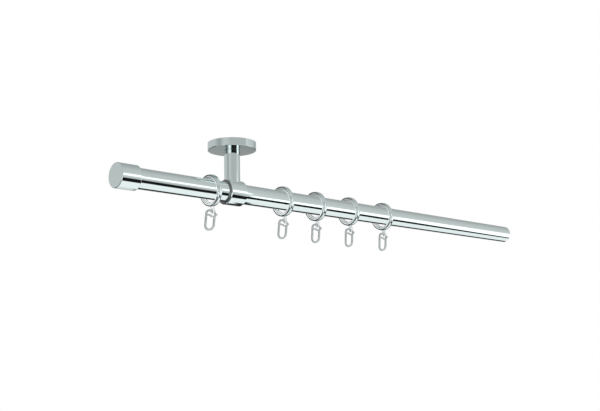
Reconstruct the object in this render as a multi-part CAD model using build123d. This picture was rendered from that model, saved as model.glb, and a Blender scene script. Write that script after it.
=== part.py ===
from build123d import *
import math
import os

# Curtain rod on a ceiling bracket, with an end cap and five gliding rings, each with a hook.
# Millimetres. The origin is the centre of the bracket's ceiling face, +Z is up into the
# ceiling, +X runs along the rod away from its cap, and the rod hangs below the origin.

# Rod
ROD_DIAMETER = 20.0
ROD_WALL = 1.0
ROD_REACH = 459.0          # bracket's axis to the open end
CEILING_TO_ROD = 51.0      # ceiling face to the rod's axis
FIT = 0.05                 # radial clearance of a push fit, a bore over a screw or over the rod

# End cap
CAP_REACH = 135.3          # bracket's axis to the cap's outer face
CAP_WALL = 1.95            # round the rod
CAP_LENGTH = 20.8
CAP_END_WALL = 2.5
CAP_ROUNDING = 0.5

# Cover against the ceiling
COVER_DIAMETER = 48.7
COVER_HEIGHT = 7.8
COVER_WALL = 1.4
COVER_ROUNDING = 0.5

# Ceiling plate, hidden in the cover
PLATE_GAP = 1.95           # from its rim to the cover's wall
PLATE_THICKNESS = 2.5
BOSS_DIAMETER = 18.0
SCREW_MARGIN = 2.2         # from a screw hole's sink to the plate's rim
SCREW_HOLE_DIAMETER = 4.5
SCREW_SINK_DIAMETER = 8.6

# Stud that joins the plate, the cover and the post
STUD_DIAMETER = 8.0
STUD_INSET = 0.5           # its top stays this far inside the ceiling face
STUD_ENGAGEMENT = 9.7      # length inside the post
STUD_SOCKET = 4.0          # across the flats of its hexagon socket
STUD_SOCKET_DEPTH = 4.0

# Post
POST_DIAMETER = 16.0
POST_CHAMFER = 0.3
TAP_RUNOUT = 2.0           # a tapped hole is this much deeper than its screw

# Collar round the rod
COLLAR_DIAMETER = 25.4
COLLAR_LENGTH = 20.0
COLLAR_CHAMFER = 0.7

# Countersunk screw from the collar's bore up into the post
COLLAR_SCREW_DIAMETER = 5.0
COLLAR_SCREW_HEAD = 9.2
COLLAR_SCREW_LENGTH = 13.0
COLLAR_SCREW_SOCKET = 3.0
COLLAR_SCREW_SOCKET_DEPTH = 1.6

# Grub screw at the back of the collar, which locks the rod
GRUB_DIAMETER = 4.0
GRUB_LENGTH = 3.0
GRUB_SOCKET = 2.0
GRUB_SOCKET_DEPTH = 1.5

# Rings: a crowned metal band with a moulded liner pressed into it
RING_PLACES = [-27.3, 67.3, 114.9, 165.8, 221.0]
RING_TILT = 7.0            # degrees at rest, top towards the cap
RING_TURN = -2.5           # degrees about the vertical at rest
BAND_DIAMETER = 31.8
BAND_WALL = 1.5
BAND_WIDTH = 5.0
BAND_CROWN = 0.4           # how far the outer face swells at its middle
BAND_ROUNDING = 0.25
LINER_WALL = 1.2
LINER_WIDTH = 4.6
LINER_BORE = 22.5          # inside the rib that glides on the rod
RIB_TIP = 1.2
RIB_ROOT = 2.0
LINER_ROUNDING = 0.3
HANG_GAP = 0.15            # left between two pieces where one hangs on the other

# Foot of the liner, a tapered block inside the band's lowest part
FOOT_RISE = 2.8            # above the liner's outside
FOOT_TOP = 4.4             # length of its flat top
FOOT_BASE = 16.0
FOOT_THICKNESS = 3.6
FOOT_ROUNDING = 0.3

# Eye under the foot, through a slot in the band
EYE_THICKNESS = 1.6
EYE_WIDTH = 5.0
EYE_DROP = 7.3             # below the band
EYE_BAR = 1.5
EYE_HOLE_WIDTH = 2.4
EYE_HOLE_HEIGHT = 3.3
EYE_HOLE_ROUNDING = 0.8
EYE_ROUNDING = 0.6

# Hook, one moulded loop with an open mouth and a tongue inside
HOOK_WIDTH = 12.2
HOOK_HEIGHT = 21.2
HOOK_BAR = 2.1
HOOK_THICKNESS = 2.0
HOOK_ROUNDING = 0.55
HOOK_CLOSED_BEND = 4.1     # radius of the bar's middle line over the closed limb
HOOK_MOUTH_BEND = 1.9      # the same beside the mouth
HOOK_FOOT_BEND = 3.6       # and under the closed limb, where the loop is lowest
HOOK_ARC_END = 20.0        # degrees above level, where the bend beside the mouth ends
HOOK_TIP_OUT = 2.0         # the flared tip's reach beyond the limb
HOOK_TIP_DEPTH = 3.4       # below the top of the hook to the tip
HOOK_FLARE_DEPTH = 5.8     # below the top of the hook to where the flare starts
TONGUE_DEPTH = 5.7         # below the top of the hook to the tongue's crown
TONGUE_BAR = 1.6
TONGUE_END = 2.0           # from the hook's middle to the tongue's free end
TONGUE_DROOP = 0.9
HOOK_OFFSET = 3.0          # from the hook's middle to the eye that it hangs on
HOOK_LEANS = [6.5, 6.5, 5.0, 4.0, 5.0]  # degrees at rest, foot towards the cap

CAP_DIAMETER = ROD_DIAMETER + 2 * FIT + 2 * CAP_WALL
PLATE_DIAMETER = COVER_DIAMETER - 2 * COVER_WALL - 2 * PLATE_GAP
SCREW_SPACING = PLATE_DIAMETER - SCREW_SINK_DIAMETER - 2 * SCREW_MARGIN
ROD_AXIS_Z = -CEILING_TO_ROD
ROD_RADIUS = ROD_DIAMETER / 2
COLLAR_RADIUS = COLLAR_DIAMETER / 2
COVER_FLOOR_Z = -COVER_HEIGHT
POST_TOP_Z = COVER_FLOOR_Z
BAND_RADIUS = BAND_DIAMETER / 2
LINER_RADIUS = BAND_RADIUS - BAND_WALL
TILT = math.radians(RING_TILT)
TURN = math.radians(RING_TURN)
RIB_HEIGHT = LINER_BORE / 2 * math.cos(TILT) - RIB_TIP / 2 * math.sin(TILT)
RING_AXIS_Z = ROD_AXIS_Z - (RIB_HEIGHT - ROD_RADIUS - HANG_GAP)
EYE_FOOT = BAND_RADIUS + EYE_DROP
PIVOT_REACH = EYE_FOOT - EYE_BAR / 2
PIVOT_X = PIVOT_REACH * math.sin(TILT) * math.cos(TURN)
PIVOT_Y = PIVOT_REACH * math.sin(TILT) * math.sin(TURN)
PIVOT_Z = RING_AXIS_Z - PIVOT_REACH * math.cos(TILT)
HOOK_TOP = EYE_BAR / 2 + HANG_GAP + HOOK_BAR


def along_x(radius, start, end, z=0.0, y=0.0):
    """A cylinder along X from start to end."""
    disc = Plane(origin=(start, y, z), x_dir=(0, 1, 0), z_dir=(1, 0, 0)) * Circle(radius)
    return extrude(disc, end - start)


def along_z(radius, bottom, top, x=0.0):
    """A cylinder along Z from bottom to top."""
    return Pos(x, 0, bottom) * Cylinder(radius, top - bottom, align=(Align.CENTER, Align.CENTER, Align.MIN))


def hexagon(flats, depth):
    """A hexagon socket's space, from Z 0 up to depth."""
    return extrude(RegularPolygon(flats / math.sqrt(3), 6), depth)


def revolved(points, axis):
    """A solid turned from a closed outline of points."""
    return revolve(make_face(Polyline(*points, close=True)), axis)


def rod_tube():
    start = -CAP_REACH + CAP_END_WALL
    wall = along_x(ROD_RADIUS, start, ROD_REACH, ROD_AXIS_Z)
    return wall - along_x(ROD_RADIUS - ROD_WALL, start, ROD_REACH, ROD_AXIS_Z)


def end_cap():
    outer = along_x(CAP_DIAMETER / 2, -CAP_REACH, -CAP_REACH + CAP_LENGTH, ROD_AXIS_Z)
    outer = fillet(outer.edges().filter_by(GeomType.CIRCLE), CAP_ROUNDING)
    start = -CAP_REACH + CAP_END_WALL
    return outer - along_x(ROD_RADIUS + FIT, start, -CAP_REACH + CAP_LENGTH, ROD_AXIS_Z)


def ceiling_plate():
    plate = along_z(PLATE_DIAMETER / 2, -PLATE_THICKNESS, 0)
    plate += along_z(BOSS_DIAMETER / 2, COVER_FLOOR_Z + COVER_WALL, -PLATE_THICKNESS)
    plate -= along_z(STUD_DIAMETER / 2 + FIT, COVER_FLOOR_Z, 0)
    hole_radius = SCREW_HOLE_DIAMETER / 2
    sink_radius = SCREW_SINK_DIAMETER / 2
    sink_depth = sink_radius - hole_radius
    for side in (-1, 1):
        x = side * SCREW_SPACING / 2
        plate -= along_z(hole_radius, -PLATE_THICKNESS, 0, x)
        sink = Cone(sink_radius, hole_radius, sink_depth, align=(Align.CENTER, Align.CENTER, Align.MIN))
        plate -= Pos(x, 0, -PLATE_THICKNESS) * sink
    return plate


def ceiling_cover():
    cup = along_z(COVER_DIAMETER / 2, COVER_FLOOR_Z, 0)
    cup = fillet(cup.edges().filter_by(GeomType.CIRCLE).sort_by(Axis.Z)[0], COVER_ROUNDING)
    cup -= along_z(COVER_DIAMETER / 2 - COVER_WALL, COVER_FLOOR_Z + COVER_WALL, 0)
    return cup - along_z(STUD_DIAMETER / 2 + FIT, COVER_FLOOR_Z, 0)


def ceiling_stud():
    bottom = POST_TOP_Z - STUD_ENGAGEMENT
    stud = along_z(STUD_DIAMETER / 2, bottom, -STUD_INSET)
    stud = chamfer(stud.edges().filter_by(GeomType.CIRCLE), STUD_DIAMETER / 10)
    return stud - Pos(0, 0, bottom) * hexagon(STUD_SOCKET, STUD_SOCKET_DEPTH)


def bracket_post():
    post = along_z(POST_DIAMETER / 2, ROD_AXIS_Z, POST_TOP_Z)
    post = chamfer(post.edges().filter_by(GeomType.CIRCLE).sort_by(Axis.Z)[-1], POST_CHAMFER)
    post -= along_x(COLLAR_RADIUS, -POST_DIAMETER, POST_DIAMETER, ROD_AXIS_Z)
    stud_hole_end = POST_TOP_Z - STUD_ENGAGEMENT - TAP_RUNOUT
    post -= along_z(STUD_DIAMETER / 2 + FIT, stud_hole_end, POST_TOP_Z)
    screw_hole_end = collar_screw_face() + COLLAR_SCREW_LENGTH + TAP_RUNOUT
    return post - along_z(COLLAR_SCREW_DIAMETER / 2 + FIT, ROD_AXIS_Z, screw_hole_end)


def collar_screw_face():
    """Height of the collar screw's flat head, just above the rod."""
    return ROD_AXIS_Z + ROD_RADIUS + 2 * FIT


def screw_body(grow=0.0):
    """The countersunk collar screw's form, or its seat when it is grown by a clearance."""
    face = collar_screw_face()
    head = COLLAR_SCREW_HEAD / 2 + grow
    shank = COLLAR_SCREW_DIAMETER / 2 + grow
    sink_depth = head - shank
    body = Pos(0, 0, face) * Cone(head, shank, sink_depth, align=(Align.CENTER, Align.CENTER, Align.MIN))
    return body + along_z(shank, face + sink_depth, face + COLLAR_SCREW_LENGTH)


def bracket_collar():
    half = COLLAR_LENGTH / 2
    collar = along_x(COLLAR_RADIUS, -half, half, ROD_AXIS_Z)
    collar = chamfer(collar.edges().filter_by(GeomType.CIRCLE), COLLAR_CHAMFER)
    collar -= along_x(ROD_RADIUS + FIT, -half, half, ROD_AXIS_Z)
    collar -= screw_body(FIT)
    collar -= along_z(COLLAR_SCREW_HEAD / 2 + FIT, ROD_AXIS_Z, collar_screw_face())
    return collar - grub_cylinder(GRUB_DIAMETER / 2 + FIT, ROD_RADIUS, COLLAR_RADIUS)


def collar_screw():
    socket = Pos(0, 0, collar_screw_face()) * hexagon(COLLAR_SCREW_SOCKET, COLLAR_SCREW_SOCKET_DEPTH)
    return screw_body() - socket


def grub_cylinder(radius, start, end):
    """A cylinder along Y at the rod's height, for the grub screw and its hole."""
    disc = Plane(origin=(0, start, ROD_AXIS_Z), x_dir=(1, 0, 0), z_dir=(0, 1, 0)) * Circle(radius)
    return extrude(disc, end - start)


def rod_grub_screw():
    end = ROD_RADIUS + GRUB_LENGTH
    screw = grub_cylinder(GRUB_DIAMETER / 2, ROD_RADIUS, end)
    screw = chamfer(screw.edges().filter_by(GeomType.CIRCLE), GRUB_DIAMETER / 12)
    mouth = Plane(origin=(0, end, ROD_AXIS_Z), x_dir=(1, 0, 0), z_dir=(0, -1, 0))
    return screw - mouth * hexagon(GRUB_SOCKET, GRUB_SOCKET_DEPTH)


def ring_band():
    half = BAND_WIDTH / 2
    rim = BAND_RADIUS - BAND_CROWN
    crown = ThreePointArc((-half, rim), (0, BAND_RADIUS), (half, rim))
    sides = Polyline((half, rim), (half, LINER_RADIUS), (-half, LINER_RADIUS), (-half, rim))
    band = revolve(make_face(crown + sides), Axis.X)
    band = fillet(band.edges().filter_by(GeomType.CIRCLE), BAND_ROUNDING)
    slot = Box(EYE_THICKNESS + 2 * FIT, EYE_WIDTH + 2 * FIT, BAND_RADIUS,
               align=(Align.CENTER, Align.CENTER, Align.MAX))
    return band - Pos(0, 0, -LINER_RADIUS / 2) * slot


def eye_outline():
    """The eye's flat form below the ring's axis, as a face in local X and Y."""
    top = -LINER_RADIUS + LINER_WALL / 2
    end = EYE_WIDTH / 2
    body = Pos(0, end - EYE_FOOT) * Rectangle(EYE_WIDTH, top + EYE_FOOT - end, align=(Align.CENTER, Align.MIN))
    body += Pos(0, end - EYE_FOOT) * Circle(end)
    hole = RectangleRounded(EYE_HOLE_WIDTH, EYE_HOLE_HEIGHT, EYE_HOLE_ROUNDING,
                            align=(Align.CENTER, Align.MIN))
    return body - Pos(0, EYE_BAR - EYE_FOOT) * hole


def foot_outline():
    """The foot's flat form below the ring's axis, as a face in local X and Y."""
    top = FOOT_RISE - LINER_RADIUS
    base = -math.sqrt(LINER_RADIUS ** 2 - FOOT_BASE ** 2 / 4)
    points = [(-FOOT_TOP / 2, top), (FOOT_TOP / 2, top), (FOOT_BASE / 2, base), (FOOT_BASE / 2, -LINER_RADIUS),
              (-FOOT_BASE / 2, -LINER_RADIUS), (-FOOT_BASE / 2, base)]
    return make_face(Polyline(*points, close=True)) & Circle(LINER_RADIUS - LINER_WALL / 2)


def across_ring(outline, thickness):
    """A flat form turned into the ring's plane and thickened evenly."""
    plane = Plane(origin=(-thickness / 2, 0, 0), x_dir=(0, 1, 0), z_dir=(1, 0, 0))
    return extrude(plane * outline, thickness)


def ring_liner():
    inside = LINER_RADIUS - LINER_WALL
    bore = LINER_BORE / 2
    wide = LINER_WIDTH / 2
    section = [(-wide, LINER_RADIUS), (wide, LINER_RADIUS), (wide, inside), (RIB_ROOT / 2, inside),
               (RIB_TIP / 2, bore), (-RIB_TIP / 2, bore), (-RIB_ROOT / 2, inside), (-wide, inside)]
    liner = revolved([(u, v, 0) for u, v in section], Axis.X)
    inner = liner.edges().filter_by(GeomType.CIRCLE).filter_by(lambda e: e.radius < LINER_RADIUS - FIT)
    liner = fillet(inner, LINER_ROUNDING)
    foot = across_ring(foot_outline(), FOOT_THICKNESS)
    sides = foot.faces().filter_by(Axis.X).edges()
    foot = fillet(sides.filter_by(lambda e: e.center().Z > -inside), FOOT_ROUNDING)
    eye = across_ring(eye_outline(), EYE_THICKNESS)
    rims = eye.faces().filter_by(Axis.X).edges().filter_by(lambda e: e.center().Z < BAND_WALL - BAND_RADIUS)
    eye = fillet(rims, EYE_ROUNDING)
    return liner + foot + eye


def hung(solid, x):
    """A ring piece put on the rod as it hangs, tilted and a little turned."""
    return Pos(x, 0, RING_AXIS_Z) * Rot(0, 0, RING_TURN) * Rot(0, -RING_TILT, 0) * solid


def hook_outline():
    """The hook's flat form, the top of its middle at the origin, hanging along -Y."""
    line = (HOOK_WIDTH - HOOK_BAR) / 2
    top_y = -HOOK_BAR / 2
    foot_y = -HOOK_HEIGHT + HOOK_BAR / 2
    mouth_x = line - HOOK_MOUTH_BEND
    closed_x = HOOK_CLOSED_BEND - line
    foot_x = HOOK_FOOT_BEND - line
    foot_sweep = line - foot_x
    mouth_centre = (mouth_x, top_y - HOOK_MOUTH_BEND)
    closed_centre = (closed_x, top_y - HOOK_CLOSED_BEND)
    mouth_bend = CenterArc(mouth_centre, HOOK_MOUTH_BEND, HOOK_ARC_END, 90 - HOOK_ARC_END)
    closed_bend = CenterArc(closed_centre, HOOK_CLOSED_BEND, 90, 90)
    tip = (line + HOOK_TIP_OUT, -HOOK_TIP_DEPTH)
    flare = (line, -HOOK_FLARE_DEPTH)
    tongue_root = (-line, -TONGUE_DEPTH - TONGUE_DROOP)
    tongue_end = (TONGUE_END, -TONGUE_DEPTH - TONGUE_DROOP)
    tongue_crown = ((TONGUE_END - line) / 2, -TONGUE_DEPTH)
    bar = [
        mouth_bend,
        Line((mouth_x, top_y), (closed_x, top_y)),
        closed_bend,
        Line((-line, top_y - HOOK_CLOSED_BEND), (-line, foot_y + HOOK_FOOT_BEND)),
        CenterArc((foot_x, foot_y + HOOK_FOOT_BEND), HOOK_FOOT_BEND, 180, 90),
        CenterArc((foot_x, foot_y + foot_sweep), foot_sweep, 270, 90),
        Line((line, foot_y + foot_sweep), flare),
        Line(flare, tip),
    ]
    outline = Sketch() + [trace(piece, HOOK_BAR) for piece in bar]
    for end in (mouth_bend @ 0, flare, tip):
        outline += Pos(*end) * Circle(HOOK_BAR / 2)
    outline += trace(ThreePointArc(tongue_root, tongue_crown, tongue_end), TONGUE_BAR)
    return outline + Pos(*tongue_end) * Circle(TONGUE_BAR / 2)


def ring_hook():
    """The hook about its pivot, upright."""
    plane = Plane(origin=(0, HOOK_THICKNESS / 2, 0), x_dir=(1, 0, 0), z_dir=(0, -1, 0))
    hook = extrude(plane * hook_outline(), HOOK_THICKNESS)
    rims = hook.faces().filter_by(Axis.Y).edges()
    return Pos(-HOOK_OFFSET, 0, HOOK_TOP) * fillet(rims, HOOK_ROUNDING)


def main():
    pieces = {
        "rod_tube": rod_tube(),
        "end_cap": end_cap(),
        "ceiling_plate": ceiling_plate(),
        "ceiling_cover": ceiling_cover(),
        "ceiling_stud": ceiling_stud(),
        "bracket_post": bracket_post(),
        "bracket_collar": bracket_collar(),
        "collar_screw": collar_screw(),
        "rod_grub_screw": rod_grub_screw(),
    }
    band, liner, hook = ring_band(), ring_liner(), ring_hook()
    for number, (x, lean) in enumerate(zip(RING_PLACES, HOOK_LEANS), 1):
        pieces[f"ring_band_{number}"] = hung(band, x)
        pieces[f"ring_liner_{number}"] = hung(liner, x)
        pieces[f"ring_hook_{number}"] = Pos(x + PIVOT_X, PIVOT_Y, PIVOT_Z) * Rot(0, lean, 0) * hook
    os.makedirs("parts", exist_ok=True)
    for name, solid in pieces.items():
        export_step(solid, f"parts/{name}.step")


main()
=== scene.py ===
"""Looks of a chromed curtain rod on a ceiling bracket: fine meshes, finishes, studio and camera."""

import math

import bmesh
import bpy
from mathutils import Matrix, Vector


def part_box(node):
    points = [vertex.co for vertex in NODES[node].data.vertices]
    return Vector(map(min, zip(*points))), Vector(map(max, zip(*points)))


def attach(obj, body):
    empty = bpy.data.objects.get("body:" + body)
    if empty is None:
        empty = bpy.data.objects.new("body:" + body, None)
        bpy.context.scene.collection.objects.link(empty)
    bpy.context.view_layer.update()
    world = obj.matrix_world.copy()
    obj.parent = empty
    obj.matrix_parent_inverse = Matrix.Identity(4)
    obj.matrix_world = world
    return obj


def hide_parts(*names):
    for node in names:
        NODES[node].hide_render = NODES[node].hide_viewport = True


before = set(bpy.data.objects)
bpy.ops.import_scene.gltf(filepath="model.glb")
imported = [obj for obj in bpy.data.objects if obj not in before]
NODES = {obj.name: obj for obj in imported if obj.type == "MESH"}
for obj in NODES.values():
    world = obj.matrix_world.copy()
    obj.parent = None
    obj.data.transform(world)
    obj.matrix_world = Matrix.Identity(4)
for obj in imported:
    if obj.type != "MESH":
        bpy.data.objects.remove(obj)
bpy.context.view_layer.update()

bl_info = {
    "name": "Curtain rod looks",
    "version": (1, 0, 0),
    "blender": (4, 5, 0),
    "location": "3D View > Sidebar > Curtain rod",
    "description": "Dresses a chromed curtain rod with its bracket, rings and hooks",
    "category": "Object",
}

MM = 0.001
FIT = 0.05 * MM                     # radial clearance of a bore over the rod or a screw
SAME_POINT = 1e-7                   # points closer than this are made one
SHARP_ANGLE = math.radians(32)      # edges that turn more than this stay sharp

ROOT_BODY = "rod_and_bracket"
RING_NUMBERS = range(1, sum(name.startswith("ring_band_") for name in NODES) + 1)

ROD_LOW, ROD_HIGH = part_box("rod_tube")
ROD_RADIUS = (ROD_HIGH.z - ROD_LOW.z) / 2
AXIS_Z = (ROD_LOW.z + ROD_HIGH.z) / 2
ROD_AXIS = Vector((0, 0, AXIS_Z))


class RodFinish(bpy.types.PropertyGroup):
    """Colours and polish of the three finishes."""
    chrome_tint: bpy.props.FloatVectorProperty(
        name="Chrome tint", description="Reflected colour of the polished metal", subtype="COLOR",
        size=3, min=0, max=1, default=(0.775, 0.85, 0.845))
    chrome_roughness: bpy.props.FloatProperty(
        name="Chrome roughness", description="Blur of the polished metal's reflections",
        subtype="FACTOR", min=0, max=1, default=0.035)
    zinc_tint: bpy.props.FloatVectorProperty(
        name="Zinc tint", description="Colour of the plated steel inside the bracket", subtype="COLOR",
        size=3, min=0, max=1, default=(0.52, 0.54, 0.57))
    hook_tint: bpy.props.FloatVectorProperty(
        name="Hook tint", description="Colour of the moulded hooks", subtype="COLOR",
        size=3, min=0, max=1, default=(0.64, 0.67, 0.67))
    liner_tint: bpy.props.FloatVectorProperty(
        name="Liner tint", description="Colour of the moulded liners", subtype="COLOR",
        size=3, min=0, max=1, default=(0.94, 0.97, 0.97))
    plastic_clearness: bpy.props.FloatProperty(
        name="Plastic clearness", description="Share of light that passes through the moulded pieces",
        subtype="FACTOR", min=0, max=1, default=0.25)


class RodForm(bpy.types.PropertyGroup):
    """Fine form of the turned pieces, in metres."""
    turned_segments: bpy.props.IntProperty(
        name="Turned segments", description="Flats round each turned piece", min=32, max=512, default=256)
    tube_wall: bpy.props.FloatProperty(
        name="Tube wall", description="Wall of the rod", unit="LENGTH", min=0.0003, max=0.003, default=0.001)
    edge_break: bpy.props.FloatProperty(
        name="Edge break", description="Rounding of the cut tube's edges", unit="LENGTH",
        min=0, max=0.0005, default=0.00015)
    band_diameter: bpy.props.FloatProperty(
        name="Band diameter", description="Outside of a ring at its crown", unit="LENGTH",
        min=0.028, max=0.036, default=0.0318)
    band_width: bpy.props.FloatProperty(
        name="Band width", description="Width of a ring's metal band", unit="LENGTH",
        min=0.003, max=0.008, default=0.005)
    band_wall: bpy.props.FloatProperty(
        name="Band wall", description="Thickness of a ring's metal band", unit="LENGTH",
        min=0.0005, max=0.003, default=0.0015)
    band_crown: bpy.props.FloatProperty(
        name="Band crown", description="How far a ring's outer face swells at its middle", unit="LENGTH",
        min=0, max=0.001, default=0.0004)
    ring_tilt: bpy.props.FloatProperty(
        name="Ring tilt", description="Lean of a hanging ring, top towards the cap", subtype="ANGLE",
        min=-0.3, max=0.3, default=math.radians(7.0))
    ring_turn: bpy.props.FloatProperty(
        name="Ring turn", description="Turn of a hanging ring about the vertical", subtype="ANGLE",
        min=-0.3, max=0.3, default=math.radians(-2.5))


class RodStudio(bpy.types.PropertyGroup):
    """Camera, floor and lamps."""
    camera_place: bpy.props.FloatVectorProperty(
        name="Camera place", description="Where the camera stands", subtype="TRANSLATION",
        size=3, default=(-0.5936, -0.7301, -0.2432))
    camera_yaw: bpy.props.FloatProperty(
        name="Camera yaw", description="Turn from +Y towards +X", subtype="ANGLE", default=math.radians(43.2))
    camera_pitch: bpy.props.FloatProperty(
        name="Camera pitch", description="Upward tilt", subtype="ANGLE", default=math.radians(10.73))
    camera_roll: bpy.props.FloatProperty(
        name="Camera roll", description="Turn about the line of sight", subtype="ANGLE",
        default=math.radians(-1.34))
    camera_lens: bpy.props.FloatProperty(
        name="Lens", description="Focal length in millimetres on a 36 mm sensor", min=10, max=300,
        default=57.69)
    floor_depth: bpy.props.FloatProperty(
        name="Floor depth", description="Floor below the ceiling face", unit="LENGTH", min=0.2, max=3,
        default=2.0)
    floor_reach: bpy.props.FloatProperty(
        name="Floor reach", description="Middle of the floor to each side", unit="LENGTH", min=1, max=20,
        default=8.0)
    floor_wash: bpy.props.FloatProperty(
        name="Floor wash", description="Strength of the light on the floor alone", min=0, max=10, default=1.1)
    top_light: bpy.props.FloatProperty(
        name="Top light", description="Power of the lamp overhead", unit="POWER", min=0, max=500, default=30)
    front_light: bpy.props.FloatProperty(
        name="Front light", description="Power of the lamp in front", unit="POWER", min=0, max=500, default=0.5)
    side_light: bpy.props.FloatProperty(
        name="Side light", description="Power of the lamp on the liners alone", unit="POWER",
        min=0, max=500, default=10)


def finished(name, mesh, material, body, node):
    """Links a mesh as a smooth piece in place of a node, with a named material where one is given."""
    piece = bpy.data.objects.new(name, mesh)
    bpy.context.scene.collection.objects.link(piece)
    for face in mesh.polygons:
        face.use_smooth = True
    mesh.set_sharp_from_angle(angle=SHARP_ANGLE)
    if material:
        mesh.materials.append(bpy.data.materials[material])
    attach(piece, body)
    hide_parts(node)
    return piece


def arc_points(centre, radius, start, end, count=6):
    """Points of an arc in the plane of an outline, angles in degrees."""
    points = []
    for step in range(count + 1):
        angle = math.radians(start + (end - start) * step / count)
        points.append((centre[0] + radius * math.cos(angle), centre[1] + radius * math.sin(angle)))
    return points


def braced(outline, near=0.05 * MM):
    """The outline with a point near both ends of each long run, so that its shading stays straight."""
    points = []
    for here, there in zip(outline, outline[1:] + outline[:1]):
        start, end = Vector(here), Vector(there)
        run = end - start
        points.append(here)
        if run.length > 6 * near:
            step = run.normalized() * near
            if abs(start.y) > near:
                points.append(tuple(start + step))
            if abs(end.y) > near:
                points.append(tuple(end - step))
    return points


def merged(form, name, outward=True):
    """A mesh of a form whose doubled points are made one, its faces turned outwards where asked."""
    bmesh.ops.remove_doubles(form, verts=form.verts, dist=SAME_POINT)
    if outward:
        bmesh.ops.recalc_face_normals(form, faces=form.faces)
    mesh = bpy.data.meshes.new(name)
    form.to_mesh(mesh)
    form.free()
    return mesh


def turned(name, outline, segments, along, centre):
    """A mesh turned from a closed outline of (place along the axis, radius) points."""
    outline = braced(outline)
    form = bmesh.new()
    rings = []
    for step in range(segments):
        turn = 2 * math.pi * step / segments
        ring = []
        for place, radius in outline:
            across, up = radius * math.cos(turn), radius * math.sin(turn)
            point = Vector((place, across, up)) if along == "X" else Vector((across, up, place))
            ring.append(form.verts.new(point + centre))
        rings.append(ring)
    count = len(outline)
    for here, there in zip(rings, rings[1:] + rings[:1]):
        for index in range(count):
            after = (index + 1) % count
            form.faces.new((here[index], here[after], there[after], there[index]))
    return merged(form, name)


def shader(name):
    """A new material's node tree, its Principled shader and its object coordinates."""
    material = bpy.data.materials.new(name)
    material.use_nodes = True
    tree = material.node_tree
    place = tree.nodes.new("ShaderNodeTexCoord")
    return tree, tree.nodes["Principled BSDF"], place.outputs["Object"]


def noise(tree, place, scale, detail=3.0, stretch=None):
    """A noise value read in object coordinates, drawn out along an axis where stretch is given."""
    if stretch:
        mapping = tree.nodes.new("ShaderNodeMapping")
        mapping.inputs["Scale"].default_value = stretch
        tree.links.new(place, mapping.inputs["Vector"])
        place = mapping.outputs["Vector"]
    node = tree.nodes.new("ShaderNodeTexNoise")
    node.inputs["Scale"].default_value = scale
    node.inputs["Detail"].default_value = detail
    tree.links.new(place, node.inputs["Vector"])
    return node.outputs["Fac"]


def spread(tree, value, low, high):
    """A 0 to 1 value brought into the range low to high."""
    node = tree.nodes.new("ShaderNodeMapRange")
    node.inputs["To Min"].default_value = low
    node.inputs["To Max"].default_value = high
    tree.links.new(value, node.inputs["Value"])
    return node.outputs["Result"]


def tinted(tree, value, dark, light):
    """A colour between dark and light by a value."""
    node = tree.nodes.new("ShaderNodeMix")
    node.data_type = "RGBA"
    node.inputs["A"].default_value = (*dark, 1)
    node.inputs["B"].default_value = (*light, 1)
    tree.links.new(value, node.inputs["Factor"])
    return node.outputs["Result"]


def bumped(tree, principled, height, strength, distance):
    """Bump of a height value on the shader."""
    node = tree.nodes.new("ShaderNodeBump")
    node.inputs["Strength"].default_value = strength
    node.inputs["Distance"].default_value = distance
    tree.links.new(height, node.inputs["Height"])
    tree.links.new(node.outputs["Normal"], principled.inputs["Normal"])


def chrome(name, look, stretch=(1.0, 1.0, 1.0), polish=1.0):
    """Polished chrome: nearly clean reflections, with faint polishing marks along stretch."""
    tree, principled, place = shader(name)
    principled.inputs["Metallic"].default_value = 1.0
    haze = noise(tree, place, scale=60.0, detail=2.0)
    marks = noise(tree, place, scale=900.0, detail=2.0, stretch=stretch)
    base = look.chrome_roughness / polish
    tree.links.new(spread(tree, marks, base * 0.8, base * 1.3), principled.inputs["Roughness"])
    tint = Vector(look.chrome_tint)
    tree.links.new(tinted(tree, haze, tint * 0.98, tint), principled.inputs["Base Color"])


def zinc(look):
    """Bright zinc plating on the hidden steel pieces, slightly mottled."""
    tree, principled, place = shader("zinc_plated_steel")
    principled.inputs["Metallic"].default_value = 1.0
    mottle = noise(tree, place, scale=400.0, detail=4.0)
    tint = Vector(look.zinc_tint)
    tree.links.new(tinted(tree, mottle, tint * 0.8, tint), principled.inputs["Base Color"])
    tree.links.new(spread(tree, mottle, 0.28, 0.45), principled.inputs["Roughness"])
    bumped(tree, principled, mottle, strength=0.1, distance=0.03 * MM)


def clear_plastic(name, look, tint):
    """Clear moulded plastic with faint flow clouds and a soft skin."""
    tree, principled, place = shader(name)
    clouds = noise(tree, place, scale=300.0)
    tint = Vector(tint)
    tree.links.new(tinted(tree, clouds, tint * 0.93, tint), principled.inputs["Base Color"])
    tree.links.new(spread(tree, clouds, 0.12, 0.24), principled.inputs["Roughness"])
    principled.inputs["Transmission Weight"].default_value = look.plastic_clearness
    principled.inputs["IOR"].default_value = 1.47
    bumped(tree, principled, clouds, strength=0.08, distance=0.04 * MM)


def bore_steel_and_painted_shade():
    """Dark drawn steel: the tube's unpolished inside, with drawing marks along the rod; on the collar's end
    faces the same darkness is painted shade for the gap round the rod.
    """
    tree, principled, place = shader("drawn_bore_and_painted_shade")
    principled.inputs["Metallic"].default_value = 1.0
    marks = noise(tree, place, scale=500.0, stretch=(0.04, 1.0, 1.0))
    dark, light = (0.20, 0.20, 0.21), (0.34, 0.34, 0.35)
    tree.links.new(tinted(tree, marks, dark, light), principled.inputs["Base Color"])
    tree.links.new(spread(tree, marks, 0.3, 0.5), principled.inputs["Roughness"])
    bumped(tree, principled, marks, strength=0.15, distance=0.03 * MM)


def floor_card():
    """Pale matt studio floor."""
    tree, principled, place = shader("pale_floor")
    grain = noise(tree, place, scale=8.0, detail=2.0)
    dark, light = (0.86, 0.87, 0.87), (0.9, 0.9, 0.9)
    tree.links.new(tinted(tree, grain, dark, light), principled.inputs["Base Color"])
    principled.inputs["Roughness"].default_value = 0.8


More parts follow.
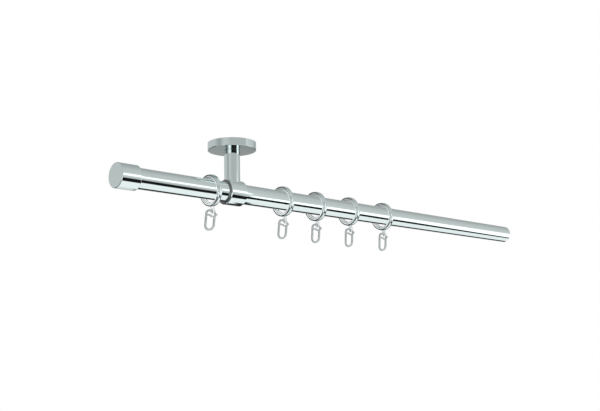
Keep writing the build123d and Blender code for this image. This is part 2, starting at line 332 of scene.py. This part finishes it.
def cut(mesh, tool):
    """Cuts a tool mesh out of a mesh, in place."""
    scene = bpy.context.scene
    piece, knife = bpy.data.objects.new("piece", mesh), bpy.data.objects.new("knife", tool)
    for thing in (piece, knife):
        scene.collection.objects.link(thing)
    modifier = piece.modifiers.new("Cut", "BOOLEAN")
    modifier.object = knife
    modifier.solver = "EXACT"
    result = bpy.data.meshes.new_from_object(piece.evaluated_get(bpy.context.evaluated_depsgraph_get()))
    form = bmesh.new()
    form.from_mesh(result)
    bmesh.ops.remove_doubles(form, verts=form.verts, dist=SAME_POINT)
    form.to_mesh(mesh)
    form.free()
    for thing in (piece, knife):
        bpy.data.objects.remove(thing)
    bpy.data.meshes.remove(tool)
    bpy.data.meshes.remove(result)


def cut_box(mesh, place, size):
    """Cuts a box of a size, middle at a place given as a matrix, out of a mesh."""
    tool = bpy.data.meshes.new("box")
    form = bmesh.new()
    bmesh.ops.create_cube(form, size=1, matrix=place @ Matrix.Diagonal((*size, 1)))
    form.to_mesh(tool)
    form.free()
    cut(mesh, tool)


def cut_hole(mesh, place, radius, length):
    """Cuts a round hole out of a mesh, its middle and direction given as a matrix."""
    tool = bpy.data.meshes.new("hole")
    form = bmesh.new()
    bmesh.ops.create_cone(form, cap_ends=True, segments=64, radius1=radius, radius2=radius, depth=length,
                          matrix=place)
    form.to_mesh(tool)
    form.free()
    cut(mesh, tool)


def polished_outside(mesh, radius):
    """Gives a piece turned round the rod polished metal outside a radius, and dark drawn steel inside it: a
    real drawn finish in the tube's bore, painted shade on the collar's end faces.
    """
    for name in ("chrome_along_rod", "drawn_bore_and_painted_shade"):
        mesh.materials.append(bpy.data.materials[name])
    for face in mesh.polygons:
        middle = sum((mesh.vertices[i].co for i in face.vertices), Vector()) / len(face.vertices)
        face.material_index = int(math.hypot(middle.y, middle.z - AXIS_Z) < radius)


class ROD_OT_tube(bpy.types.Operator):
    """Makes the rod's tube with its bore and broken edges"""
    bl_idname = "rod.tube"
    bl_label = "Tube"

    def execute(self, context):
        form = context.scene.rod_form
        start, end = ROD_LOW.x, ROD_HIGH.x
        outer, inner, edge = ROD_RADIUS, ROD_RADIUS - form.tube_wall, form.edge_break
        outline = [(start, outer)]
        outline += arc_points((end - edge, outer - edge), edge, 90, 0, 4)
        outline += arc_points((end - edge, inner + edge), edge, 0, -90, 4)
        outline += [(start, inner)]
        mesh = turned("tube", outline, form.turned_segments, "X", ROD_AXIS)
        polished_outside(mesh, inner + edge / 2)
        finished("tube", mesh, None, ROOT_BODY, "rod_tube")
        return {"FINISHED"}


class ROD_OT_cap(bpy.types.Operator):
    """Makes the end cap, a turned cup with rounded edges"""
    bl_idname = "rod.cap"
    bl_label = "End cap"
    rounding: bpy.props.FloatProperty(
        name="Rounding", description="Rounding of both rims", unit="LENGTH", default=0.5 * MM)

    def execute(self, context):
        form = context.scene.rod_form
        low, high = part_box("end_cap")
        radius, edge = (high.z - low.z) / 2, self.rounding
        bore = ROD_RADIUS + FIT
        outline = [(low.x, 0.0)]
        outline += arc_points((low.x + edge, radius - edge), edge, 180, 90)
        outline += arc_points((high.x - edge, radius - edge), edge, 90, 0)
        outline += [(high.x, bore), (ROD_LOW.x, bore), (ROD_LOW.x, 0.0)]
        mesh = turned("cap", outline, form.turned_segments, "X", ROD_AXIS)
        finished("cap", mesh, "chrome_along_rod", ROOT_BODY, "end_cap")
        return {"FINISHED"}


class ROD_OT_cover(bpy.types.Operator):
    """Makes the round cover against the ceiling"""
    bl_idname = "rod.cover"
    bl_label = "Ceiling cover"
    rounding: bpy.props.FloatProperty(
        name="Rounding", description="Rounding of the lower rim", unit="LENGTH", default=0.5 * MM)
    wall: bpy.props.FloatProperty(
        name="Wall", description="Wall of the cover", unit="LENGTH", default=1.4 * MM)

    def execute(self, context):
        form = context.scene.rod_form
        low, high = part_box("ceiling_cover")
        stud_low, stud_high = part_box("ceiling_stud")
        radius, edge = (high.x - low.x) / 2, self.rounding
        hole = (stud_high.x - stud_low.x) / 2 + FIT
        outline = [(low.z, hole)]
        outline += arc_points((low.z + edge, radius - edge), edge, 180, 90)
        outline += [(high.z, radius), (high.z, radius - self.wall)]
        outline += [(low.z + self.wall, radius - self.wall), (low.z + self.wall, hole)]
        mesh = turned("cover", outline, form.turned_segments, "Z", Vector((0, 0, 0)))
        finished("cover", mesh, "chrome_turned", ROOT_BODY, "ceiling_cover")
        return {"FINISHED"}


class ROD_OT_post(bpy.types.Operator):
    """Makes the post, round and coped to sit on the collar"""
    bl_idname = "rod.post"
    bl_label = "Post"
    chamfer: bpy.props.FloatProperty(
        name="Chamfer", description="Bevel at the post's top", unit="LENGTH", default=0.3 * MM)

    def execute(self, context):
        form = context.scene.rod_form
        low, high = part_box("bracket_post")
        collar_low, collar_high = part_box("bracket_collar")
        radius = (high.x - low.x) / 2
        collar = (collar_high.z - collar_low.z) / 2
        top = ((radius, high.z - self.chamfer), (radius - self.chamfer, high.z), (0, high.z))
        post = bmesh.new()
        columns = []
        for step in range(form.turned_segments):
            turn = 2 * math.pi * step / form.turned_segments
            cosine, sine = math.cos(turn), math.sin(turn)
            column = []
            for reach in (0.0, radius / 2, radius):
                foot = AXIS_Z + math.sqrt(collar ** 2 - (reach * sine) ** 2)
                column.append(post.verts.new((reach * cosine, reach * sine, foot)))
            for reach, height in top:
                column.append(post.verts.new((reach * cosine, reach * sine, height)))
            columns.append(column)
        for here, there in zip(columns, columns[1:] + columns[:1]):
            for index in range(len(here) - 1):
                post.faces.new((here[index], here[index + 1], there[index + 1], there[index]))
        finished("post", merged(post, "post"), "chrome_upright", ROOT_BODY, "bracket_post")
        return {"FINISHED"}


class ROD_OT_collar(bpy.types.Operator):
    """Makes the collar round the rod, with its chamfers and the grub screw's hole"""
    bl_idname = "rod.collar"
    bl_label = "Collar"
    chamfer: bpy.props.FloatProperty(
        name="Chamfer", description="Bevel of both ends", unit="LENGTH", default=0.7 * MM)

    def execute(self, context):
        form = context.scene.rod_form
        low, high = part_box("bracket_collar")
        radius, edge = (high.z - low.z) / 2, self.chamfer
        bore = ROD_RADIUS + FIT
        outline = [(low.x, bore), (low.x, radius - edge), (low.x + edge, radius)]
        outline += [(high.x - edge, radius), (high.x, radius - edge), (high.x, bore)]
        mesh = turned("collar", outline, form.turned_segments, "X", ROD_AXIS)
        grub_low, grub_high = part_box("rod_grub_screw")
        side = Matrix.Translation((0, radius, AXIS_Z)) @ Matrix.Rotation(math.pi / 2, 4, "X")
        depth = 2 * (radius - bore) + 2 * MM
        cut_hole(mesh, side, (grub_high.x - grub_low.x) / 2 + FIT, depth)
        # The collar's end faces inside the chamfers get the dark drawn steel: painted shade standing in for the
        # gap round the rod.
        polished_outside(mesh, radius - edge)
        finished("collar", mesh, None, ROOT_BODY, "bracket_collar")
        return {"FINISHED"}


def ring_tree():
    """Geometry nodes that sweep a ring's section, the object's own mesh, round a circle."""
    tree = bpy.data.node_groups.new("swept_ring", "GeometryNodeTree")
    face = tree.interface
    face.new_socket("Geometry", in_out="INPUT", socket_type="NodeSocketGeometry")
    for name, kind in (("Radius", "NodeSocketFloat"), ("Segments", "NodeSocketInt"),
                       ("Place", "NodeSocketVector"), ("Lean", "NodeSocketFloat"),
                       ("Turn", "NodeSocketFloat"), ("Material", "NodeSocketMaterial")):
        face.new_socket(name, in_out="INPUT", socket_type=kind)
    face.new_socket("Geometry", in_out="OUTPUT", socket_type="NodeSocketGeometry")
    add, link = tree.nodes.new, tree.links.new
    given, result = add("NodeGroupInput"), add("NodeGroupOutput")
    section = add("GeometryNodeMeshToCurve")
    path = add("GeometryNodeCurvePrimitiveCircle")
    swept = add("GeometryNodeCurveToMesh")
    upright, lean, turn = (add("GeometryNodeTransform") for step in range(3))
    upright.inputs["Rotation"].default_value = (0, math.pi / 2, 0)
    lean_angle, turn_angle = add("ShaderNodeCombineXYZ"), add("ShaderNodeCombineXYZ")
    smooth = add("GeometryNodeSetShadeSmooth")
    real = add("GeometryNodeRealizeInstances")
    paint = add("GeometryNodeSetMaterial")
    link(given.outputs["Geometry"], section.inputs["Mesh"])
    link(given.outputs["Radius"], path.inputs["Radius"])
    link(given.outputs["Segments"], path.inputs["Resolution"])
    link(path.outputs["Curve"], swept.inputs["Curve"])
    link(section.outputs["Curve"], swept.inputs["Profile Curve"])
    link(swept.outputs["Mesh"], upright.inputs["Geometry"])
    link(upright.outputs["Geometry"], lean.inputs["Geometry"])
    link(lean.outputs["Geometry"], turn.inputs["Geometry"])
    link(given.outputs["Lean"], lean_angle.inputs["Y"])
    link(given.outputs["Turn"], turn_angle.inputs["Z"])
    link(lean_angle.outputs["Vector"], lean.inputs["Rotation"])
    link(turn_angle.outputs["Vector"], turn.inputs["Rotation"])
    link(given.outputs["Place"], turn.inputs["Translation"])
    link(turn.outputs["Geometry"], smooth.inputs["Geometry"])
    link(smooth.outputs["Geometry"], real.inputs["Geometry"])
    link(real.outputs["Geometry"], paint.inputs["Geometry"])
    link(given.outputs["Material"], paint.inputs["Material"])
    link(paint.outputs["Geometry"], result.inputs["Geometry"])
    return tree


def swept_ring(tree, name, section, values):
    """The mesh that the tree makes of a closed section, with its named inputs set."""
    mesh = bpy.data.meshes.new(name)
    edges = [(i, (i + 1) % len(section)) for i in range(len(section))]
    mesh.from_pydata([(u, v, 0) for u, v in section], edges, [])
    carrier = bpy.data.objects.new(name + "_carrier", mesh)
    bpy.context.scene.collection.objects.link(carrier)
    modifier = carrier.modifiers.new("Sweep", "NODES")
    modifier.node_group = tree
    for item in tree.interface.items_tree:
        if item.in_out == "INPUT" and item.name in values:
            modifier[item.identifier] = values[item.name]
    evaluated = carrier.evaluated_get(bpy.context.evaluated_depsgraph_get())
    result = bpy.data.meshes.new_from_object(evaluated)
    bpy.data.objects.remove(carrier)
    form = bmesh.new()
    form.from_mesh(result)
    bmesh.ops.remove_doubles(form, verts=form.verts, dist=SAME_POINT)
    bmesh.ops.recalc_face_normals(form, faces=form.faces)
    form.to_mesh(result)
    form.free()
    result.name = name
    return result


class ROD_OT_bands(bpy.types.Operator):
    """Makes the rings' metal bands, each swept from one crowned section and slotted for the eye"""
    bl_idname = "rod.bands"
    bl_label = "Ring bands"
    rounding: bpy.props.FloatProperty(
        name="Rounding", description="Rounding of a band's edges", unit="LENGTH", default=0.12 * MM)
    slot: bpy.props.FloatVectorProperty(
        name="Slot", description="Size of the eye's slot along and across the rod",
        subtype="TRANSLATION", size=2, default=(1.7 * MM, 5.1 * MM))

    def section(self, form):
        """Closed outline of (out from the middle of the wall, along the rod)."""
        half, edge = form.band_width / 2, self.rounding
        outer, inner = form.band_wall / 2, -form.band_wall / 2
        rim = outer - form.band_crown
        slope = math.degrees(math.atan(2 * form.band_crown / half))
        steps, bend, spread_out = 24, 5, 0.3
        points = arc_points((rim - edge, -half + edge), edge, -90, -slope, bend)
        for step in range(1, steps):
            share = 2 * step / steps - 1
            reach = half - edge * (1 - spread_out * abs(share))
            points.append((rim + form.band_crown * (1 - share ** 2), share * reach))
        points += arc_points((rim - edge, half - edge), edge, slope, 90, bend)
        points += arc_points((inner + edge, half - edge), edge, 90, 180, bend)
        points += arc_points((inner + edge, -half + edge), edge, 180, 270, bend)
        return braced(points)

    def execute(self, context):
        form = context.scene.rod_form
        tree = ring_tree()
        section = self.section(form)
        radius = form.band_diameter / 2
        pose = Matrix.Rotation(form.ring_turn, 4, "Z") @ Matrix.Rotation(-form.ring_tilt, 4, "Y")
        slot = (self.slot[0], self.slot[1], 4 * form.band_wall)
        for number in RING_NUMBERS:
            node = f"ring_band_{number}"
            low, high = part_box(node)
            middle = (low + high) / 2
            values = {"Radius": radius - form.band_wall / 2, "Segments": form.turned_segments,
                      "Place": middle, "Lean": -form.ring_tilt, "Turn": form.ring_turn,
                      "Material": bpy.data.materials["chrome_pressed"]}
            mesh = swept_ring(tree, f"band_{number}", section, values)
            cut_box(mesh, Matrix.Translation(middle) @ pose @ Matrix.Translation((0, 0, -radius)), slot)
            band = finished(f"band_{number}", mesh, None, f"ring_{number}", node)
            band.visible_glossy = False
        return {"FINISHED"}


class ROD_OT_mouldings(bpy.types.Operator):
    """Makes the liners and hooks smooth, as clear moulded plastic"""
    bl_idname = "rod.mouldings"
    bl_label = "Liners and hooks"

    def execute(self, context):
        for number in RING_NUMBERS:
            for kind, body in (("liner", "ring"), ("hook", "hook")):
                node = f"ring_{kind}_{number}"
                name = f"{kind}_{number}"
                form = bmesh.new()
                form.from_mesh(NODES[node].data)
                mesh = merged(form, name, outward=False)
                piece = finished(name, mesh, f"moulded_{kind}", f"{body}_{number}", node)
                piece.visible_glossy = False
        return {"FINISHED"}


class ROD_OT_ironwork(bpy.types.Operator):
    """Finishes the plate, stud and screws as zinc plated steel"""
    bl_idname = "rod.ironwork"
    bl_label = "Plate, stud and screws"

    def execute(self, context):
        for name in ("ceiling_plate", "ceiling_stud", "collar_screw", "rod_grub_screw"):
            mesh = NODES[name].data
            mesh.materials.clear()
            mesh.materials.append(bpy.data.materials["zinc_plated_steel"])
        return {"FINISHED"}


class ROD_OT_finishes(bpy.types.Operator):
    """Makes the materials"""
    bl_idname = "rod.finishes"
    bl_label = "Finishes"

    def execute(self, context):
        look = context.scene.rod_finish
        chrome("chrome_along_rod", look, stretch=(0.03, 1.0, 1.0))
        chrome("chrome_upright", look, stretch=(1.0, 1.0, 0.03))
        chrome("chrome_turned", look)
        chrome("chrome_pressed", look, polish=0.3)
        zinc(look)
        clear_plastic("moulded_liner", look, look.liner_tint)
        clear_plastic("moulded_hook", look, look.hook_tint)
        bore_steel_and_painted_shade()
        floor_card()
        return {"FINISHED"}


class Sky:
    """Numbers of a world shader: a direction's turn round the rod, its height and its lean towards +X."""

    def __init__(self, tree):
        self.tree = tree
        place = tree.nodes.new("ShaderNodeTexCoord")
        split = tree.nodes.new("ShaderNodeSeparateXYZ")
        tree.links.new(place.outputs["Generated"], split.inputs["Vector"])
        x, y, z = split.outputs
        self.turn = self.math("DEGREES", self.math("ARCTAN2", z, self.math("MULTIPLY", y, -1.0)))
        self.height = self.math("DEGREES", self.math("ARCSINE", z))
        across = self.math("SQRT", self.math("ADD", self.math("MULTIPLY", y, y), self.math("MULTIPLY", z, z)))
        self.lean = self.math("DIVIDE", x, self.math("MAXIMUM", across, 0.001))

    def feed(self, sockets, values):
        """Gives each socket its value, a number or another node's output."""
        for socket, value in zip(sockets, values):
            if isinstance(value, (int, float)):
                socket.default_value = value
            else:
                self.tree.links.new(value, socket)

    def math(self, operation, *values):
        """The result of one sum on numbers or outputs."""
        node = self.tree.nodes.new("ShaderNodeMath")
        node.operation = operation
        self.feed(node.inputs, values)
        return node.outputs["Value"]

    def step(self, value, low, high):
        """0 below low, 1 above high, smooth between them."""
        node = self.tree.nodes.new("ShaderNodeMapRange")
        node.interpolation_type = "SMOOTHSTEP"
        node.inputs["From Min"].default_value = low
        node.inputs["From Max"].default_value = high
        self.tree.links.new(value, node.inputs["Value"])
        return node.outputs["Result"]

    def inside(self, value, low, high, soft):
        """1 between low and high, 0 outside, with soft edges."""
        rising = self.step(value, low - soft, low + soft)
        falling = self.step(value, high - soft, high + soft)
        return self.math("SUBTRACT", rising, falling)

    def graph(self, value, stops, low, high):
        """A number read from straight runs between stops of (value, number), between low and high."""
        ramp = self.tree.nodes.new("ShaderNodeFloatCurve")
        curve = ramp.mapping.curves[0]
        ramp.mapping.clip_max_y = GRAPH_TOP
        points = [((place - low) / (high - low), number) for place, number in stops]
        curve.points[0].location = points[0]
        curve.points[1].location = points[-1]
        for point in points[1:-1]:
            curve.points.new(*point)
        for point in curve.points:
            point.handle_type = "VECTOR"
        ramp.mapping.update()
        share = self.math("DIVIDE", self.math("SUBTRACT", value, low), high - low)
        self.tree.links.new(share, ramp.inputs["Value"])
        return ramp.outputs["Value"]

    def bands(self, stops):
        """A level by the turn round the rod."""
        return self.graph(self.turn, stops, -180.0, 180.0)

    def mix(self, share, first, second):
        """The first value where the share is 0, the second where it is 1."""
        node = self.tree.nodes.new("ShaderNodeMix")
        self.tree.links.new(share, node.inputs["Factor"])
        self.feed((node.inputs["A"], node.inputs["B"]), (first, second))
        return node.outputs["Result"]

    def patch(self, level, light, share, *others):
        """The level with a light in it where all the shares are 1."""
        for other in others:
            share = self.math("MULTIPLY", share, other)
        return self.mix(share, level, light)


# The highest number that a graph may hold.
GRAPH_TOP = 4.0

# Levels of light by the turn round the rod: 0 level in front, 90 overhead, -90 straight down. 1 is white.
OVERHEAD = [(31, 0.63), (43, 0.64), (56, 0.61), (70, 0.56), (85, 0.51), (105, 0.43), (140, 0.42),
            (158, 0.6), (180, 0.66)]
BEHIND = [(-180, 0.4), (-162, 0.39), (-160.5, 0.02), (-128, 0.02), (-125, 1.05)]
FAR_LEFT = [(-180, 0.1), (-150, 0.2), (-124, 0.45), (-104, 0.6), (-86, 1.0), (-60, 1.3), (-14, 1.0),
            (-6, 0.5), (10, 0.55)] + OVERHEAD
TOWARDS_CAMERA = BEHIND + [(-118, 0.4), (-100, 0.2), (-55, 0.2), (-46, 1.0), (-14, 1.0), (-2, 0.6),
                           (10, 0.52), (22, 0.53)] + OVERHEAD
LEFT_OF_BRACKET = BEHIND + [(-100, 1.03), (-60, 1.05), (-30, 0.5), (-23, 0.52), (-11, 0.67), (-3, 0.72),
                            (17, 0.76)] + OVERHEAD
RIGHT_OF_BRACKET = BEHIND + [(-100, 1.0), (-60, 1.05), (-30, 0.9), (-12, 0.68), (5, 0.68),
                             (17, 0.71)] + OVERHEAD
FAR_RIGHT = BEHIND + [(-112, 0.05), (-50, 0.08), (-42, 1.0), (-12, 1.0), (-5, 0.6), (10, 0.55)] + OVERHEAD

# Borders between the zones, as leans of a direction towards +X. Each border is soft from one to the other.
CAMERA_ZONE_START = (-1.2, -1.1)
ROD_ZONE_START = (0.57, 0.59)
BRACKET_BORDER = (0.816, 0.822)
FAR_ZONE_START = (1.6, 1.9)

# The dark window low in front: heights above level, turns and leans. A third number is a softness.
WINDOW_HEIGHT = (-15.6, -12.4, 0.4)
WINDOW_FRONT = (-60.0, -50.0)
WINDOW_START = (-1.15, -1.1)
WINDOW_LIGHT = 0.01

# The bright strip level with the rod, and the pale patch below and behind the cap's foot.
LEVEL_STRIP_TURN = (-1.0, 15.3, 0.4)
LEVEL_STRIP_START = (0.606, 0.612)
LEVEL_STRIP_LIGHT = 1.6
CAP_FOOT_TURN = (-162.0, -122.0, 1.0)
CAP_FOOT_LEAN = (0.55, 0.636, 0.004)
CAP_FOOT_LIGHT = 0.8

# The bright strip right of the bracket. Its upper edge, in degrees of turn, climbs with the lean for a
# run and then creeps on.
STRIP_FRONT = (-60.0, -58.0)
STRIP_LEAN = (0.819, 1.7, 0.003)
STRIP_TOP = -11.0
STRIP_CLIMB = 60.0
STRIP_CLIMB_START = 0.83
STRIP_CLIMB_RUN = 0.13
STRIP_CREEP = 18.0
STRIP_CREEP_START = 0.96
STRIP_EDGE = 0.8
STRIP_LIGHT = 1.5

# The dark band below level: how far down its middle lies and how wide its half is, by lean. The graphs
# hold these degrees in hundreds, because a graph's numbers have to stay low.
DARK_BAND_UNIT = 100.0
DARK_BAND_SPAN = (0.5, 1.5)
DARK_BAND_PLACE = [(0.5, 0.385), (0.63, 0.385), (0.74, 0.43), (0.765, 0.41), (0.83, 0.433), (1.0, 0.445),
                   (1.2, 0.515), (1.5, 0.61)]
DARK_BAND_WIDTH = [(0.5, 0.153), (0.75, 0.153), (0.78, 0.168), (0.83, 0.126), (1.15, 0.13), (1.5, 0.07)]
DARK_BAND_LEAN = (0.58, 1.6, 0.01)
DARK_BAND_EDGE = 1.2
DARK_BAND_LIGHT = 0.01

# Dark patches: below the collar's foot, level behind the rod, and in the corner towards the cap.
COLLAR_FOOT_TURN = (-160.0, -104.0, 1.0)
COLLAR_FOOT_LEAN = (0.793, 0.819, 0.003)
COLLAR_FOOT_LIGHT = 0.02
WALL_TURN = (170.0, 172.0)
WALL_LEAN = (-0.60, -0.64)
WALL_LIGHT = 0.04
CORNER_TURN = (163.9, 164.3)
CORNER_LEAN = (-0.9, -0.77, 0.02)
CORNER_LIGHT = 0.03

LIGHT_TINT = (0.97, 1.0, 1.0, 1)
SENSOR_WIDTH = 36.0
LAMP_AIM = (0.1, 0.0, -0.07)


class ROD_OT_stage(bpy.types.Operator):
    """Builds the studio: light, floor and camera"""
    bl_idname = "rod.stage"
    bl_label = "Studio"

    def camera(self, studio):
        """The camera, aimed by yaw and pitch and rolled about its line of sight."""
        data = bpy.data.cameras.new("camera")
        data.lens = studio.camera_lens
        data.sensor_width = SENSOR_WIDTH
        data.clip_start = 10 * MM
        camera = bpy.data.objects.new("camera", data)
        bpy.context.scene.collection.objects.link(camera)
        yaw, pitch, roll = studio.camera_yaw, studio.camera_pitch, studio.camera_roll
        ahead = Vector((math.sin(yaw) * math.cos(pitch), math.cos(yaw) * math.cos(pitch), math.sin(pitch)))
        level = Vector((math.cos(yaw), -math.sin(yaw), 0))
        upward = level.cross(ahead)
        right = math.cos(roll) * level + math.sin(roll) * upward
        top = -math.sin(roll) * level + math.cos(roll) * upward
        turn = Matrix((right, top, -ahead)).transposed().to_4x4()
        camera.matrix_world = Matrix.Translation(studio.camera_place) @ turn
        bpy.context.scene.camera = camera

    def floor(self, studio):
        """The pale floor card, with a light from straight above that shines on it alone."""
        mesh = bpy.data.meshes.new("floor")
        reach = studio.floor_reach
        corners = ((-reach, -reach), (reach, -reach), (reach, reach), (-reach, reach))
        mesh.from_pydata([(x, y, -studio.floor_depth) for x, y in corners], [], [(0, 1, 2, 3)])
        mesh.materials.append(bpy.data.materials["pale_floor"])
        floor = bpy.data.objects.new("floor", mesh)
        floor.visible_glossy = False
        bpy.context.scene.collection.objects.link(floor)
        data = bpy.data.lights.new("floor_wash", "SUN")
        data.energy = studio.floor_wash
        wash = bpy.data.objects.new("floor_wash", data)
        bpy.context.scene.collection.objects.link(wash)
        self.light_only(wash, [floor])

    def light_only(self, lamp, pieces):
        """Lets a lamp shine on the given pieces alone."""
        lit = bpy.data.collections.new(lamp.name)
        for piece in pieces:
            lit.objects.link(piece)
        lamp.light_linking.receiver_collection = lit

    def lamp(self, name, place, aim, size, power):
        """A round soft lamp that neither the camera nor a reflection shows."""
        data = bpy.data.lights.new(name, "AREA")
        data.shape = "DISK"
        data.size = size
        data.energy = power
        lamp = bpy.data.objects.new(name, data)
        lamp.location = place
        lamp.rotation_euler = (Vector(aim) - Vector(place)).to_track_quat("-Z", "Y").to_euler()
        lamp.visible_glossy = False
        lamp.visible_camera = False
        bpy.context.scene.collection.objects.link(lamp)
        return lamp

    def levels(self, sky):
        """The level of light in every direction: zones along the rod, then bright and dark patches."""
        lean, turn = sky.lean, sky.turn
        far_left, towards_camera = sky.bands(FAR_LEFT), sky.bands(TOWARDS_CAMERA)
        level = sky.mix(sky.step(lean, *CAMERA_ZONE_START), far_left, towards_camera)
        level = sky.patch(level, WINDOW_LIGHT, sky.inside(sky.height, *WINDOW_HEIGHT),
                          sky.step(turn, *WINDOW_FRONT), sky.step(lean, *WINDOW_START))
        level = sky.mix(sky.step(lean, *ROD_ZONE_START), level, sky.bands(LEFT_OF_BRACKET))
        level = sky.patch(level, LEVEL_STRIP_LIGHT, sky.inside(turn, *LEVEL_STRIP_TURN),
                          sky.step(lean, *LEVEL_STRIP_START))
        level = sky.patch(level, CAP_FOOT_LIGHT, sky.inside(turn, *CAP_FOOT_TURN),
                          sky.inside(lean, *CAP_FOOT_LEAN))
        level = sky.mix(sky.step(lean, *BRACKET_BORDER), level, sky.bands(RIGHT_OF_BRACKET))
        climb = sky.math("MINIMUM", sky.math("SUBTRACT", lean, STRIP_CLIMB_START), STRIP_CLIMB_RUN)
        creep = sky.math("MAXIMUM", sky.math("SUBTRACT", lean, STRIP_CREEP_START), 0.0)
        climb = sky.math("MULTIPLY", climb, STRIP_CLIMB)
        creep = sky.math("MULTIPLY", creep, STRIP_CREEP)
        top = sky.math("ADD", sky.math("ADD", climb, creep), STRIP_TOP)
        below_top = sky.math("SUBTRACT", top, turn)
        level = sky.patch(level, STRIP_LIGHT, sky.step(turn, *STRIP_FRONT),
                          sky.step(below_top, -STRIP_EDGE, STRIP_EDGE), sky.inside(lean, *STRIP_LEAN))
        level = sky.mix(sky.step(lean, *FAR_ZONE_START), level, sky.bands(FAR_RIGHT))
        middle = sky.math("MULTIPLY", sky.graph(lean, DARK_BAND_PLACE, *DARK_BAND_SPAN), DARK_BAND_UNIT)
        half = sky.math("MULTIPLY", sky.graph(lean, DARK_BAND_WIDTH, *DARK_BAND_SPAN), DARK_BAND_UNIT)
        away = sky.math("ABSOLUTE", sky.math("ADD", turn, middle))
        within = sky.step(sky.math("SUBTRACT", half, away), -DARK_BAND_EDGE, DARK_BAND_EDGE)
        level = sky.patch(level, DARK_BAND_LIGHT, within, sky.inside(lean, *DARK_BAND_LEAN))
        level = sky.patch(level, COLLAR_FOOT_LIGHT, sky.inside(turn, *COLLAR_FOOT_TURN),
                          sky.inside(lean, *COLLAR_FOOT_LEAN))
        wall = sky.step(sky.math("ABSOLUTE", turn), *WALL_TURN)
        level = sky.patch(level, WALL_LIGHT, wall, sky.step(lean, *WALL_LEAN))
        corner = sky.step(turn, *CORNER_TURN)
        return sky.patch(level, CORNER_LIGHT, corner, sky.inside(lean, *CORNER_LEAN))

    def sky(self):
        """The world: the levels of light for all that the rod mirrors, and plain white for the camera."""
        world = bpy.data.worlds.new("studio")
        world.use_nodes = True
        tree = world.node_tree
        tone = tree.nodes.new("ShaderNodeMix")
        tone.data_type = "RGBA"
        tone.inputs["A"].default_value = (0, 0, 0, 1)
        tone.inputs["B"].default_value = LIGHT_TINT
        tone.clamp_factor = False
        mirrored = tree.nodes["Background"]
        tree.links.new(self.levels(Sky(tree)), tone.inputs["Factor"])
        tree.links.new(tone.outputs["Result"], mirrored.inputs["Color"])
        white = tree.nodes.new("ShaderNodeBackground")
        white.inputs["Color"].default_value = (1, 1, 1, 1)
        seen = tree.nodes.new("ShaderNodeLightPath")
        both = tree.nodes.new("ShaderNodeMixShader")
        tree.links.new(seen.outputs["Is Camera Ray"], both.inputs["Fac"])
        tree.links.new(mirrored.outputs["Background"], both.inputs[1])
        tree.links.new(white.outputs["Background"], both.inputs[2])
        tree.links.new(both.outputs["Shader"], tree.nodes["World Output"].inputs["Surface"])
        bpy.context.scene.world = world

    def execute(self, context):
        studio = context.scene.rod_studio
        self.camera(studio)
        self.floor(studio)
        self.sky()
        self.lamp("top_light", (0.2, 0.0, 0.9), (0.2, 0.0, -1.1), size=1.2, power=studio.top_light)
        self.lamp("front_light", (-1.0, -0.8, -0.15), LAMP_AIM, size=0.7, power=studio.front_light)
        side_light = self.lamp("side_light", (-1.3, -0.1, -0.35), LAMP_AIM, size=0.5, power=studio.side_light)
        self.light_only(side_light, [bpy.data.objects[f"liner_{number}"] for number in RING_NUMBERS])
        context.scene.view_settings.view_transform = "Standard"
        return {"FINISHED"}


class ROD_PT_panel(bpy.types.Panel):
    """Lists the steps that dress the rod"""
    bl_label = "Curtain rod"
    bl_idname = "ROD_PT_panel"
    bl_space_type = "VIEW_3D"
    bl_region_type = "UI"
    bl_category = "Curtain rod"

    def draw(self, context):
        for group in (context.scene.rod_finish, context.scene.rod_form, context.scene.rod_studio):
            for name in group.bl_rna.properties.keys():
                if name not in ("rna_type", "name"):
                    self.layout.prop(group, name)
        for step in STEPS:
            self.layout.operator(step.bl_idname)


GROUPS = {"rod_finish": RodFinish, "rod_form": RodForm, "rod_studio": RodStudio}
STEPS = (ROD_OT_finishes, ROD_OT_tube, ROD_OT_cap, ROD_OT_cover, ROD_OT_post, ROD_OT_collar, ROD_OT_bands,
         ROD_OT_mouldings, ROD_OT_ironwork, ROD_OT_stage)


def register():
    for part in (*GROUPS.values(), *STEPS, ROD_PT_panel):
        bpy.utils.register_class(part)
    for name, group in GROUPS.items():
        setattr(bpy.types.Scene, name, bpy.props.PointerProperty(type=group))


def unregister():
    for name in GROUPS:
        delattr(bpy.types.Scene, name)
    for part in reversed((*GROUPS.values(), *STEPS, ROD_PT_panel)):
        bpy.utils.unregister_class(part)


def main():
    register()
    for step in STEPS:
        family, name = step.bl_idname.split(".")
        getattr(getattr(bpy.ops, family), name)()


if __name__ == "__main__":
    main()
